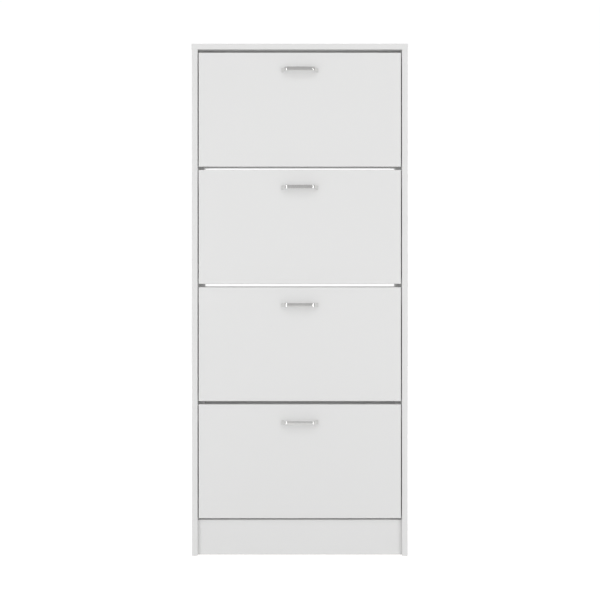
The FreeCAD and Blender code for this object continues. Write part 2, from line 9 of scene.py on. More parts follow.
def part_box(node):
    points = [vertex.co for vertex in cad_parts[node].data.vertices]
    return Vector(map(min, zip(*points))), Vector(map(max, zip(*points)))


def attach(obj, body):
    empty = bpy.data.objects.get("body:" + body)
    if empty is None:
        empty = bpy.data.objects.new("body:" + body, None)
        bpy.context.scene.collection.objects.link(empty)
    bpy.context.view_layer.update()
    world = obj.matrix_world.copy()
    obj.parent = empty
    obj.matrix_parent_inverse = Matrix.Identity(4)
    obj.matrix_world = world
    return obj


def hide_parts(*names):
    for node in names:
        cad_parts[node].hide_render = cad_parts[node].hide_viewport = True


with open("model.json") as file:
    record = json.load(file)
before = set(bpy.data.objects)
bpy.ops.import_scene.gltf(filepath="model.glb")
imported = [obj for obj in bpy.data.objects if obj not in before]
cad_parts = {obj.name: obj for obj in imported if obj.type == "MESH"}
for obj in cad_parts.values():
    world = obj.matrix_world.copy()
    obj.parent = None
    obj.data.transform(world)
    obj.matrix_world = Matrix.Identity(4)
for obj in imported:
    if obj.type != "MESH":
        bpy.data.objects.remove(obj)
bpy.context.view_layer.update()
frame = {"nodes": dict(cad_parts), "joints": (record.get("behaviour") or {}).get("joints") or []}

# ------------------------------------------------------------------ studio
# A bright room without corners: white all round, a pale floor, a broad soft light high in front,
# two upright softboxes that the bent metal mirrors, and a soft panel behind the open back.
front_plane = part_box("side_left")[0].y
EYE_DISTANCE = 2.811
EYE_HEIGHT = 0.7184
EYE_OFFSET = 0.0006
FOCAL_LENGTH = 60.08
BACKDROP = 1.02
ROOM = 0.58

camera_data = bpy.data.cameras.new("camera")
camera_data.lens = FOCAL_LENGTH
camera_data.sensor_width = 36.0
camera_data.clip_end = 50.0
camera = bpy.data.objects.new("camera", camera_data)
camera.location = (EYE_OFFSET, front_plane - EYE_DISTANCE, EYE_HEIGHT)
camera.rotation_euler = (math.radians(90), 0.0, 0.0)
bpy.context.scene.collection.objects.link(camera)
bpy.context.scene.camera = camera
bpy.context.scene.view_settings.view_transform = "Standard"

world = bpy.data.worlds.new("white_room")
world.use_nodes = True
bpy.context.scene.world = world
nodes = world.node_tree.nodes
links = world.node_tree.links
backdrop = nodes["Background"]
backdrop.inputs["Color"].default_value = (1.0, 1.0, 1.0, 1.0)
backdrop.inputs["Strength"].default_value = BACKDROP
room_light = nodes.new("ShaderNodeBackground")
room_light.inputs["Strength"].default_value = ROOM
seen_or_lit = nodes.new("ShaderNodeMixShader")
path = nodes.new("ShaderNodeLightPath")
links.new(path.outputs["Is Camera Ray"], seen_or_lit.inputs["Fac"])
links.new(room_light.outputs["Background"], seen_or_lit.inputs[1])
links.new(backdrop.outputs["Background"], seen_or_lit.inputs[2])
links.new(seen_or_lit.outputs["Shader"], nodes["World Output"].inputs["Surface"])


def soft_light(name, place, target, width, height, watts):
    """A rectangular light aimed at a point."""
    data = bpy.data.lights.new(name, "AREA")
    data.shape = "RECTANGLE"
    data.size = width
    data.size_y = height
    data.energy = watts
    lamp = bpy.data.objects.new(name, data)
    lamp.location = place
    lamp.rotation_euler = (Vector(target) - Vector(place)).to_track_quat("-Z", "Y").to_euler()
    bpy.context.scene.collection.objects.link(lamp)
    return lamp


key = soft_light("key", place=(0.0, -3.2, 3.4), target=(0.0, 0.0, 0.9),
                 width=3.0, height=1.6, watts=21.0)
key.visible_glossy = False
for hand, side in (("left", -1.0), ("right", 1.0)):
    soft_light(f"{hand}_softbox", place=(side * 1.7, -2.8, 1.0), target=(0.0, -0.1, 0.8),
               width=0.6, height=2.2, watts=19.0)
soft_light("back_panel", place=(0.0, 1.8, 3.0), target=(0.0, 0.1, 0.7),
           width=2.4, height=1.2, watts=45.0)

FLOOR_HALF = 8.0
floor_mesh = bmesh.new()
bmesh.ops.create_grid(floor_mesh, x_segments=1, y_segments=1, size=FLOOR_HALF)
floor_data = bpy.data.meshes.new("floor")
floor_mesh.to_mesh(floor_data)
floor_mesh.free()
floor = bpy.data.objects.new("floor", floor_data)
bpy.context.scene.collection.objects.link(floor)

# The floor glows so that it reads as white paper, and less so where it only lights the cabinet
SEEN_GLOW = 0.95
LIT_GLOW = 0.50
floor_paint = bpy.data.materials.new("pale_floor")
floor_paint.use_nodes = True
nodes = floor_paint.node_tree.nodes
links = floor_paint.node_tree.links
shader = nodes["Principled BSDF"]
shader.inputs["Base Color"].default_value = (0.35, 0.35, 0.35, 1.0)
shader.inputs["Roughness"].default_value = 0.9
shader.inputs["Specular IOR Level"].default_value = 0.0
shader.inputs["Emission Color"].default_value = (1.0, 1.0, 1.0, 1.0)
glow = nodes.new("ShaderNodeMath")
glow.operation = "MULTIPLY_ADD"
glow.inputs[1].default_value = SEEN_GLOW - LIT_GLOW
glow.inputs[2].default_value = LIT_GLOW
path = nodes.new("ShaderNodeLightPath")
links.new(path.outputs["Is Camera Ray"], glow.inputs[0])
links.new(glow.outputs["Value"], shader.inputs["Emission Strength"])
floor_data.materials.append(floor_paint)

# ------------------------------------------------------------------ carcase boards
# Chipboard pressed with a white melamine skin and cut to size. The edges that show are banded
# with a thin white strip; edges that face the wall or the floor stay raw and show the chips.


def node_group(name, inputs, outputs):
    """A shader node group with named sockets; returns its tree, input node and output node."""
    tree = bpy.data.node_groups.new(name, "ShaderNodeTree")
    for label, kind in inputs:
        tree.interface.new_socket(name=label, in_out="INPUT", socket_type="NodeSocket" + kind)
    for label, kind in outputs:
        tree.interface.new_socket(name=label, in_out="OUTPUT", socket_type="NodeSocket" + kind)
    return tree, tree.nodes.new("NodeGroupInput"), tree.nodes.new("NodeGroupOutput")


def feed(tree, socket, source):
    """Link a socket to another node's output, or set it to a plain value."""
    if isinstance(source, bpy.types.NodeSocket):
        tree.links.new(source, socket)
    else:
        socket.default_value = source


def math_node(tree, operation, *sources):
    """A Math node; returns its output."""
    node = tree.nodes.new("ShaderNodeMath")
    node.operation = operation
    for socket, source in zip(node.inputs, sources):
        feed(tree, socket, source)
    return node.outputs["Value"]


def vector_node(tree, operation, *sources):
    """A Vector Math node; returns its output."""
    node = tree.nodes.new("ShaderNodeVectorMath")
    node.operation = operation
    for socket, source in zip(node.inputs, sources):
        feed(tree, socket, source)
    return node.outputs["Vector"]


def scaled(tree, source, low, high):
    """A 0 to 1 value stretched to run from low to high."""
    return math_node(tree, "MULTIPLY_ADD", source, high - low, low)


def mixed(tree, factor, first, second, way="MIX"):
    """A colour Mix node; returns its colour."""
    node = tree.nodes.new("ShaderNodeMix")
    node.data_type = "RGBA"
    node.blend_type = way
    feed(tree, node.inputs["Factor"], factor)
    feed(tree, node.inputs["A"], first)
    feed(tree, node.inputs["B"], second)
    return node.outputs["Result"]


def own_place(tree):
    """Coordinates fixed to the piece."""
    return tree.nodes.new("ShaderNodeTexCoord").outputs["Object"]


def noise(tree, scale, detail, stretch=(1.0, 1.0, 1.0)):
    """Noise on the piece's own coordinates; returns its value."""
    mapping = tree.nodes.new("ShaderNodeMapping")
    feed(tree, mapping.inputs["Vector"], own_place(tree))
    feed(tree, mapping.inputs["Scale"], stretch)
    texture = tree.nodes.new("ShaderNodeTexNoise")
    feed(tree, texture.inputs["Vector"], mapping.outputs["Vector"])
    texture.inputs["Scale"].default_value = scale
    texture.inputs["Detail"].default_value = detail
    return texture.outputs["Fac"]


def place_group(tree, group, **values):
    """Use a node group in a material, with plain values for its inputs."""
    node = tree.nodes.new("ShaderNodeGroup")
    node.node_tree = group
    for label, source in values.items():
        feed(tree, node.inputs[label], source)
    return node.outputs


# Pressed skin: a fine pearl emboss, and a sheen that drifts a little over the sheet
skin, _, skin_out = node_group(
    "pressed_skin", [], [("Shade", "Float"), ("Roughness", "Float"), ("Height", "Float")])
pearl = noise(skin, scale=800.0, detail=3.0)
drift = noise(skin, scale=4.0, detail=2.0)
feed(skin, skin_out.inputs["Shade"], scaled(skin, drift, 0.988, 1.0))
feed(skin, skin_out.inputs["Roughness"],
     math_node(skin, "ADD", scaled(skin, drift, 0.36, 0.48), scaled(skin, pearl, -0.04, 0.04)))
feed(skin, skin_out.inputs["Height"], pearl)

# Where a board ends: how far a point lies from the nearest cut edge and under the two faces
BAND_THICKNESS = 0.0008
SEAM_WIDTH = 0.00015
edges, edges_in, edges_out = node_group(
    "banded_edges", [("Low", "Vector"), ("High", "Vector"), ("Thin", "Vector")],
    [("Band", "Float"), ("Seam", "Float"), ("Depth", "Float")])
from_low = vector_node(edges, "SUBTRACT", own_place(edges), edges_in.outputs["Low"])
from_high = vector_node(edges, "SUBTRACT", edges_in.outputs["High"], own_place(edges))
inset = vector_node(edges, "MINIMUM", from_low, from_high)
across = edges.nodes.new("ShaderNodeSeparateXYZ")
feed(edges, across.inputs["Vector"], vector_node(edges, "ADD", inset, edges_in.outputs["Thin"]))
from_edge = math_node(edges, "MINIMUM", across.outputs["Z"],
                      math_node(edges, "MINIMUM", across.outputs["X"], across.outputs["Y"]))
from_seam = math_node(edges, "ABSOLUTE",
                      math_node(edges, "SUBTRACT", from_edge, BAND_THICKNESS))
feed(edges, edges_out.inputs["Band"], math_node(edges, "LESS_THAN", from_edge, BAND_THICKNESS))
feed(edges, edges_out.inputs["Seam"], math_node(edges, "LESS_THAN", from_seam, SEAM_WIDTH / 2))
under_face = edges.nodes.new("ShaderNodeVectorMath")
under_face.operation = "DOT_PRODUCT"
feed(edges, under_face.inputs[0], inset)
feed(edges, under_face.inputs[1], edges_in.outputs["Thin"])
feed(edges, edges_out.inputs["Depth"], under_face.outputs["Value"])

# Raw chipboard: fine dust-like outer layers, coarse light and dark chips in the core
FINE_LAYER = 0.003
chips, chips_in, chips_out = node_group(
    "pressed_chips", [("Depth", "Float")], [("Color", "Color"), ("Height", "Float")])


def chip_layer(scale, dark, light):
    """One layer of chips of a size; returns its colour and its height."""
    cells = chips.nodes.new("ShaderNodeTexVoronoi")
    cells.inputs["Scale"].default_value = scale
    feed(chips, cells.inputs["Vector"], own_place(chips))
    return mixed(chips, cells.outputs["Color"], dark, light), cells.outputs["Distance"]


coarse_colour, coarse_height = chip_layer(
    scale=380.0, dark=(0.36, 0.24, 0.13, 1.0), light=(0.68, 0.53, 0.36, 1.0))
fine_colour, fine_height = chip_layer(
    scale=1300.0, dark=(0.50, 0.38, 0.24, 1.0), light=(0.66, 0.53, 0.37, 1.0))
in_core = math_node(chips, "GREATER_THAN", chips_in.outputs["Depth"], FINE_LAYER)
feed(chips, chips_out.inputs["Color"], mixed(chips, in_core, fine_colour, coarse_colour))
feed(chips, chips_out.inputs["Height"],
     math_node(chips, "ADD", math_node(chips, "MULTIPLY", coarse_height, in_core), fine_height))

WHITE = 0.80
THIN_ALONG = {"X": (1.0, 0.0, 0.0), "Y": (0.0, 1.0, 0.0), "Z": (0.0, 0.0, 1.0)}
RAW_DEPTH = 0.0004


def board_material(node, thin, raw_faces=(), white=WHITE):
    """Melamine-faced chipboard for one board. thin is the axis of its thickness; raw_faces
    lists the unbanded edges as an axis and the side of the board they lie on."""
    low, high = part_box(node)
    material = bpy.data.materials.new(node + "_board")
    material.use_nodes = True
    tree = material.node_tree
    shader = tree.nodes["Principled BSDF"]
    face = place_group(tree, skin)
    edge = place_group(tree, edges, Low=low, High=high, Thin=THIN_ALONG[thin])
    colour = mixed(tree, 1.0, (white, white, white * 0.996, 1.0), face["Shade"], "MULTIPLY")
    colour = mixed(tree, edge["Band"], colour, (white * 0.99, white * 0.99, white * 0.985, 1.0))
    colour = mixed(tree, edge["Seam"], colour, (white * 0.72, white * 0.70, white * 0.66, 1.0))
    rough = math_node(tree, "MULTIPLY_ADD", edge["Band"], -0.12, face["Roughness"])
    height = math_node(tree, "MULTIPLY_ADD", edge["Seam"], -0.5,
                       math_node(tree, "MULTIPLY", face["Height"], 0.02))
    if raw_faces:
        place = tree.nodes.new("ShaderNodeSeparateXYZ")
        feed(tree, place.inputs["Vector"], own_place(tree))
        raw = 0.0
        for axis, sign in raw_faces:
            plane = (high if sign > 0 else low)["XYZ".index(axis)]
            off_plane = math_node(tree, "ABSOLUTE",
                                  math_node(tree, "SUBTRACT", place.outputs[axis], plane))
            on_face = math_node(tree, "LESS_THAN", off_plane, RAW_DEPTH)
            raw = math_node(tree, "MAXIMUM", raw, on_face)
        core = place_group(tree, chips, Depth=edge["Depth"])
        colour = mixed(tree, raw, colour, core["Color"])
        rough = math_node(tree, "MULTIPLY_ADD", raw, 0.45, rough)
        height = math_node(tree, "MULTIPLY_ADD", raw,
                           math_node(tree, "MULTIPLY", core["Height"], 0.3), height)
    feed(tree, shader.inputs["Base Color"], colour)
    feed(tree, shader.inputs["Roughness"], rough)
    bump = tree.nodes.new("ShaderNodeBump")
    bump.inputs["Strength"].default_value = 0.4
    bump.inputs["Distance"].default_value = 0.001
    feed(tree, bump.inputs["Height"], height)
    feed(tree, shader.inputs["Normal"], bump.outputs["Normal"])
    return material


def dress(node, material):
    """Give a CAD piece its material."""
    mesh = frame["nodes"][node].data
    mesh.materials.clear()
    mesh.materials.append(material)


unit_numbers = range(1, 1 + len(frame["joints"]))
for node in ("side_left", "side_right"):
    dress(node, board_material(node, "X", [("Y", 1), ("Z", -1)]))
for node in ("top_panel", "bottom_panel"):
    dress(node, board_material(node, "Z", [("Y", 1)]))
dress("plinth", board_material("plinth", "Y", [("Z", -1)]))
for number in unit_numbers:
    node = f"rear_rail_{number}"
    dress(node, board_material(node, "Y", [("Z", -1)]))

# ------------------------------------------------------------------ bolts, cam locks and dowels
# Each board joint holds a zinc-plated bolt in a die-cast cam lock that a screwdriver turns, and
# a fluted beech pin. Bolts and pins sit inside the boards; the cam faces show in their bores.


def solids_of(node):
    """The lowest and highest corner of each separate solid of a CAD piece."""
    mesh = bmesh.new()
    mesh.from_mesh(frame["nodes"][node].data)
    bmesh.ops.remove_doubles(mesh, verts=mesh.verts, dist=0.00001)
    boxes = []
    waiting = set(mesh.verts)
    while waiting:
        reached = [waiting.pop()]
        for vert in reached:
            beside = {edge.other_vert(vert) for edge in vert.link_edges} & waiting
            reached.extend(beside)
            waiting -= beside
        corners = [[pick(vert.co[axis] for vert in reached) for axis in range(3)]
                   for pick in (min, max)]
        boxes.append(tuple(Vector(round(c, 6) for c in corner) for corner in corners))
    mesh.free()
    return sorted(boxes, key=lambda box: tuple(box[0]))


def turned(profile, steps):
    """A turned solid about Z from (radius, height) points; a rim left open stays open."""
    mesh = bmesh.new()
    points = [mesh.verts.new((radius, 0.0, height)) for radius, height in profile]
    lines = [mesh.edges.new(pair) for pair in zip(points, points[1:])]
    bmesh.ops.spin(mesh, geom=points + lines, cent=(0, 0, 0), axis=(0, 0, 1), dvec=(0, 0, 0),
                   angle=math.tau, steps=steps, use_merge=True, use_duplicate=False)
    bmesh.ops.remove_doubles(mesh, verts=mesh.verts, dist=0.000001)
    return mesh


def cut_cross(mesh, reach, depth):
    """Close the one open rim of a turned solid with a cross-shaped driver recess."""
    half_arm = reach * math.sin(math.radians(15.0))
    for drop, shrink in ((0.0, 1.0), (depth * 0.75, 0.72)):
        rim = [edge for edge in mesh.edges if edge.is_boundary]
        made = bmesh.ops.extrude_edge_only(mesh, edges=rim)["geom"]
        ring = [part for part in made if isinstance(part, bmesh.types.BMVert)]
        for vert in ring:
            angle = math.atan2(vert.co.y, vert.co.x)
            off_arm = abs((angle + math.pi / 4) % (math.pi / 2) - math.pi / 4)
            wall = half_arm / max(math.sin(off_arm), 0.001)
            distance = min(reach, wall) * shrink
            vert.co.x = distance * math.cos(angle)
            vert.co.y = distance * math.sin(angle)
            vert.co.z -= drop
    floor_height = ring[0].co.z - depth * 0.25
    rim = [edge for edge in mesh.edges if edge.is_boundary]
    made = bmesh.ops.extrude_edge_only(mesh, edges=rim)["geom"]
    ring = [part for part in made if isinstance(part, bmesh.types.BMVert)]
    bmesh.ops.pointmerge(mesh, verts=ring, merge_co=(0.0, 0.0, floor_height))


def as_template(mesh):
    """Keep a finished shape so that it can be stamped many times."""
    template = bpy.data.meshes.new("template")
    bmesh.ops.recalc_face_normals(mesh, faces=mesh.faces)
    mesh.to_mesh(template)
    mesh.free()
    return template


def stamp(mesh, template, place, direction):
    """Add a copy of a shape with its origin at a place and its Z axis along a direction."""
    there_before = set(mesh.verts)
    mesh.from_mesh(template)
    turn = Vector(direction).to_track_quat("Z", "Y").to_matrix().to_4x4()
    bmesh.ops.transform(mesh, matrix=Matrix.Translation(place) @ turn,
                        verts=[vert for vert in mesh.verts if vert not in there_before])


def add_piece(name, mesh, body, slot, material, *nodes):
    """Make a mesh a piece that rides on a body and stands for CAD pieces."""
    data = bpy.data.meshes.new(name)
    mesh.to_mesh(data)
    mesh.free()
    data.shade_smooth()
    data.set_sharp_from_angle(angle=math.radians(32))
    data.materials.append(material)
    piece = bpy.data.objects.new(name, data)
    bpy.context.scene.collection.objects.link(piece)
    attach(piece, body)
    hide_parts(*nodes)
    return piece


def thinnest(box):
    """The axis along which a box is shortest."""
    return min(range(3), key=lambda axis: box[1][axis] - box[0][axis])


def longest(box):
    """The axis along which a box is longest."""
    return max(range(3), key=lambda axis: box[1][axis] - box[0][axis])


def axis_vector(axis, sign=1):
    """The unit vector of an axis, or its opposite."""
    return Vector(sign if axis == other else 0.0 for other in range(3))


def open_way(box, axis):
    """Which way a fitting faces: into the cabinet, down, or out at the back."""
    middle = (box[0] + box[1]) / 2
    return axis_vector(axis, {0: -1 if middle.x > 0 else 1, 1: 1, 2: -1}[axis])


# Metal: a fine grain that can be drawn out along one direction, and a cloudy sheen
metal, metal_in, metal_out = node_group(
    "drawn_metal", [("Stretch", "Vector")],
    [("Shade", "Float"), ("Roughness", "Float"), ("Height", "Float")])
lines = noise(metal, scale=1500.0, detail=2.0, stretch=metal_in.outputs["Stretch"])
clouds = noise(metal, scale=60.0, detail=3.0)
feed(metal, metal_out.inputs["Shade"],
     math_node(metal, "ADD", scaled(metal, lines, 0.90, 1.0),
               scaled(metal, clouds, -0.04, 0.04)))
feed(metal, metal_out.inputs["Roughness"], scaled(metal, clouds, -0.06, 0.06))
feed(metal, metal_out.inputs["Height"], lines)


def metal_material(name, colour, rough, relief, stretch=(1.0, 1.0, 1.0)):
    """A metal of a colour, with its grain drawn out where stretch is small."""
    material = bpy.data.materials.new(name)
    material.use_nodes = True
    tree = material.node_tree
    shader = tree.nodes["Principled BSDF"]
    shader.inputs["Metallic"].default_value = 1.0
    surface = place_group(tree, metal, Stretch=stretch)
    feed(tree, shader.inputs["Base Color"],
         mixed(tree, 1.0, (*colour, 1.0), surface["Shade"], "MULTIPLY"))
    feed(tree, shader.inputs["Roughness"],
         math_node(tree, "ADD", surface["Roughness"], rough))
    bump = tree.nodes.new("ShaderNodeBump")
    bump.inputs["Strength"].default_value = relief
    bump.inputs["Distance"].default_value = 0.0002
    feed(tree, bump.inputs["Height"], surface["Height"])
    feed(tree, shader.inputs["Normal"], bump.outputs["Normal"])
    return material


cast_zinc = metal_material("cast_zinc", (0.56, 0.56, 0.57), rough=0.42, relief=0.35)
zinc_plate = metal_material("zinc_plate", (0.66, 0.68, 0.70), rough=0.28, relief=0.15)

# Cam locks: a disc with a rounded rim, a sunk ring and a cross recess for the driver
cam_boxes = solids_of("cam_locks")
cam_axis = thinnest(cam_boxes[0])
cam_length = cam_boxes[0][1][cam_axis] - cam_boxes[0][0][cam_axis]
cam_radius = max(cam_boxes[0][1] - cam_boxes[0][0]) / 2
CAM_CHAMFER = 0.0006
CAM_RIM = 0.0020
CAM_SUNK = 0.0006
CAM_BOSS = 0.0036
CAM_CROSS = 0.0029
CAM_CROSS_DEPTH = 0.0042
cam_profile = [(0.0, -cam_length), (cam_radius - CAM_CHAMFER, -cam_length),
               (cam_radius, -cam_length + CAM_CHAMFER), (cam_radius, -0.0008),
               (cam_radius - 0.0003, -0.0002), (cam_radius - 0.0009, 0.0),
               (cam_radius - CAM_RIM + 0.0003, 0.0), (cam_radius - CAM_RIM, -CAM_SUNK),
               (CAM_BOSS, -CAM_SUNK), (CAM_BOSS - 0.0002, -CAM_SUNK / 2),
               (CAM_CROSS + 0.0002, -CAM_SUNK / 2)]
cam = turned(cam_profile, 24)
cut_cross(cam, CAM_CROSS, CAM_CROSS_DEPTH)
cam_shape = as_template(cam)
cams = bmesh.new()
for low, high in cam_boxes:
    mouth = open_way((low, high), thinnest((low, high)))
    stamp(cams, cam_shape, (low + high) / 2 + mouth * cam_length / 2, mouth)
add_piece("cam_lock_set", cams, "carcase", "cam_metal", cast_zinc, "cam_locks")

# Bolts: a threaded end for the side, a smooth shank and a waisted ball head for the cam
BOLT_RADIUS = 0.003
BOLT_THREAD = 0.011
THREAD_PITCH = 0.0013
BOLT_HEAD = 0.004
BOLT_WAIST = 0.002
bolt_boxes = solids_of("cam_bolts")
bolt_axis = longest(bolt_boxes[0])
bolt_length = bolt_boxes[0][1][bolt_axis] - bolt_boxes[0][0][bolt_axis]
head_foot = bolt_length - BOLT_HEAD
bolt_profile = [(0.0, 0.0), (BOLT_RADIUS * 0.7, 0.0)]
for turn in range(1, int(BOLT_THREAD / THREAD_PITCH)):
    bolt_profile += [(BOLT_RADIUS, turn * THREAD_PITCH),
                     (BOLT_RADIUS * 0.8, (turn + 0.5) * THREAD_PITCH)]
bolt_profile += [(BOLT_RADIUS, BOLT_THREAD), (BOLT_RADIUS, head_foot - BOLT_WAIST * 2),
                 (BOLT_RADIUS * 0.6, head_foot - BOLT_WAIST), (BOLT_RADIUS * 0.6, head_foot),
                 (BOLT_RADIUS, head_foot + 0.0015), (BOLT_RADIUS * 0.9, bolt_length - 0.0006),
                 (BOLT_RADIUS * 0.5, bolt_length), (0.0, bolt_length)]
bolt_shape = as_template(turned(bolt_profile, 20))
bolts = bmesh.new()
for low, high in bolt_boxes:
    inward = open_way((low, high), longest((low, high)))
    stamp(bolts, bolt_shape, (low + high) / 2 - inward * bolt_length / 2, inward)
add_piece("cam_bolt_set", bolts, "carcase", "zinc_steel", zinc_plate, "cam_bolts")

# Beech pins: straight flutes pressed in all round, both ends chamfered
pin_boxes = solids_of("wood_dowels")
PIN_RADIUS = 0.004
FLUTE_DEPTH = 0.0004
PIN_CHAMFER = 0.0012
PIN_STEPS = 32
pin_axis = longest(pin_boxes[0])
pin_length = pin_boxes[0][1][pin_axis] - pin_boxes[0][0][pin_axis]
pin = turned([(0.0, 0.0), (PIN_RADIUS - PIN_CHAMFER, 0.0), (PIN_RADIUS, PIN_CHAMFER),
              (PIN_RADIUS, pin_length - PIN_CHAMFER), (PIN_RADIUS - PIN_CHAMFER, pin_length),
              (0.0, pin_length)], PIN_STEPS)
for vert in pin.verts:
    step = round(math.atan2(vert.co.y, vert.co.x) / math.tau * PIN_STEPS)
    if step % 2 and vert.co.xy.length > PIN_RADIUS - FLUTE_DEPTH:
        vert.co.xy *= 1.0 - FLUTE_DEPTH / PIN_RADIUS
pin_shape = as_template(pin)
pins = bmesh.new()
for low, high in pin_boxes:
    along = axis_vector(longest((low, high)))
    stamp(pins, pin_shape, (low + high) / 2 - along * pin_length / 2, along)

beech = bpy.data.materials.new("raw_beech")
beech.use_nodes = True
tree = beech.node_tree
shader = tree.nodes["Principled BSDF"]
grain = noise(tree, scale=900.0, detail=3.0, stretch=(0.15, 1.0, 1.0))
specks = noise(tree, scale=1600.0, detail=0.0, stretch=(0.3, 1.0, 1.0))
flecks = math_node(tree, "GREATER_THAN", specks, 0.66)
wood = mixed(tree, grain, (0.46, 0.28, 0.14, 1.0), (0.68, 0.47, 0.28, 1.0))
feed(tree, shader.inputs["Base Color"], mixed(tree, flecks, wood, (0.36, 0.20, 0.10, 1.0)))
feed(tree, shader.inputs["Roughness"], scaled(tree, grain, 0.6, 0.75))
add_piece("beech_pin_set", pins, "carcase", "beech", beech, "wood_dowels")

# ------------------------------------------------------------------ pivot bushes and stop pins
# White flanged plastic sleeves pressed into the sides carry the flaps. A chamfered steel pin
# beside each one runs in the arm's curved slot and stops the flap at its widest.


def moulded_copy(node):
    """A CAD piece's surface with its loose triangles merged into clean faces."""
    mesh = bmesh.new()
    mesh.from_mesh(frame["nodes"][node].data)
    bmesh.ops.remove_doubles(mesh, verts=mesh.verts, dist=0.000002)
    bmesh.ops.dissolve_limit(mesh, angle_limit=math.radians(0.5), verts=mesh.verts,
                             edges=mesh.edges)
    return mesh


def round_edges(piece, width):
    """Soften the corners that a mould leaves slightly round."""
    bevel = piece.modifiers.new("moulded_corners", "BEVEL")
    bevel.width = width
    bevel.segments = 2
    bevel.limit_method = "ANGLE"
    bevel.angle_limit = math.radians(40)


# Moulded plastic: the fine matt texture of an eroded mould, with faint flow clouds
mould, _, mould_out = node_group(
    "moulded_texture", [], [("Shade", "Float"), ("Roughness", "Float"), ("Height", "Float")])
erosion = noise(mould, scale=2200.0, detail=2.0)
flow = noise(mould, scale=12.0, detail=2.0, stretch=(1.0, 1.0, 0.4))
feed(mould, mould_out.inputs["Shade"], scaled(mould, flow, 0.95, 1.0))
feed(mould, mould_out.inputs["Roughness"], scaled(mould, flow, -0.05, 0.05))
feed(mould, mould_out.inputs["Height"], erosion)


def plastic_material(name, colour, rough):
    """A moulded plastic of a colour and a mean roughness."""
    material = bpy.data.materials.new(name)
    material.use_nodes = True
    tree = material.node_tree
    shader = tree.nodes["Principled BSDF"]
    surface = place_group(tree, mould)
    feed(tree, shader.inputs["Base Color"],
         mixed(tree, 1.0, (*colour, 1.0), surface["Shade"], "MULTIPLY"))
    feed(tree, shader.inputs["Roughness"], math_node(tree, "ADD", surface["Roughness"], rough))
    bump = tree.nodes.new("ShaderNodeBump")
    bump.inputs["Strength"].default_value = 0.25
    bump.inputs["Distance"].default_value = 0.0002
    feed(tree, bump.inputs["Height"], surface["Height"])
    feed(tree, shader.inputs["Normal"], bump.outputs["Normal"])
    return material


bushes = add_piece("bush_set", moulded_copy("pivot_bushes"), "carcase", "pivot_bush",
                   plastic_material("white_acetal", (0.78, 0.78, 0.77), rough=0.38),
                   "pivot_bushes")
round_edges(bushes, 0.0003)

stop_boxes = solids_of("stop_pins")
STOP_RADIUS = 0.003
STOP_CHAMFER = 0.0006
stop_length = stop_boxes[0][1].x - stop_boxes[0][0].x
stop_shape = as_template(turned(
    [(0.0, 0.0), (STOP_RADIUS - STOP_CHAMFER, 0.0), (STOP_RADIUS, STOP_CHAMFER),
     (STOP_RADIUS, stop_length - STOP_CHAMFER), (STOP_RADIUS - STOP_CHAMFER, stop_length),
     (0.0, stop_length)], 24))
stops = bmesh.new()
for low, high in stop_boxes:
    middle = (low + high) / 2
    stamp(stops, stop_shape, (low.x, middle.y, middle.z), (1, 0, 0))
add_piece("stop_pin_set", stops, "carcase", "zinc_steel", zinc_plate, "stop_pins")

# ------------------------------------------------------------------ side arms
# Light grey plastic mouldings, one each end of every pocket: a web with the pivot pin and the
# curved stop slot, ribs that hold the boards, and a flange screwed to the flap's back.
grey_plastic = plastic_material("grey_plastic", (0.66, 0.66, 0.655), rough=0.5)
WEB = 0.004
FLANGE = 0.004
FLANGE_WIDTH = 0.020
HUB_RADIUS = 0.0095
HUB_RISE = 0.0022
SLOT_CENTRE_RADIUS = 0.060
SLOT_HALF_WIDTH = 0.0034
LIP = 0.0016
SLOT_TOP_ANGLE = 75.0
GUSSET = 0.002
GUSSET_REACH = 0.012


def hub_ring(mesh, centre, inward):
    """The thickened hub behind the pivot pin."""
    ring = turned([(0.0, -WEB / 2), (HUB_RADIUS, -WEB / 2), (HUB_RADIUS, HUB_RISE - 0.0005),
                   (HUB_RADIUS - 0.0005, HUB_RISE), (0.0045, HUB_RISE), (0.004, HUB_RISE - 0.001),
                   (0.0, HUB_RISE - 0.001)], 36)
    stamp(mesh, as_template(ring), centre, (inward, 0, 0))


def slot_lip(mesh, centre, swing):
    """A raised lip round the curved slot: one strip outside it and one inside."""
    for side in (1, -1):
        near = SLOT_CENTRE_RADIUS + side * SLOT_HALF_WIDTH
        strip = bmesh.new()
        bmesh.ops.create_grid(strip, x_segments=1, y_segments=1, size=0.5)
        bmesh.ops.rotate(strip, verts=strip.verts, cent=(0, 0, 0),
                         matrix=Matrix.Rotation(math.radians(90), 3, "Z")
                         @ Matrix.Rotation(math.radians(90), 3, "X"))
        bmesh.ops.scale(strip, verts=strip.verts, vec=(LIP * 2, LIP, LIP))
        bmesh.ops.translate(strip, verts=strip.verts, vec=(0, near + side * LIP / 2, 0))
        bmesh.ops.rotate(strip, verts=strip.verts, cent=(0, 0, 0),
                         matrix=Matrix.Rotation(math.radians(SLOT_TOP_ANGLE), 3, "X"))
        bmesh.ops.spin(strip, geom=strip.faces[:], cent=(0, 0, 0), axis=(1, 0, 0),
                       dvec=(0, 0, 0), angle=-swing, steps=14, use_duplicate=False)
        bmesh.ops.translate(strip, verts=strip.verts, vec=centre)
        mesh.from_mesh(as_template(strip))


def whole(face):
    """A face with its edges and corners, so that an extrusion takes the old face away."""
    return [face, *face.edges, *face.verts]


def extrude_on(mesh, face, shift):
    """Push a face on by a distance; returns the new end face."""
    made = bmesh.ops.extrude_face_region(mesh, geom=whole(face))["geom"]
    bmesh.ops.translate(mesh, vec=shift,
                        verts=[part for part in made if isinstance(part, bmesh.types.BMVert)])
    return next(part for part in made if isinstance(part, bmesh.types.BMFace))


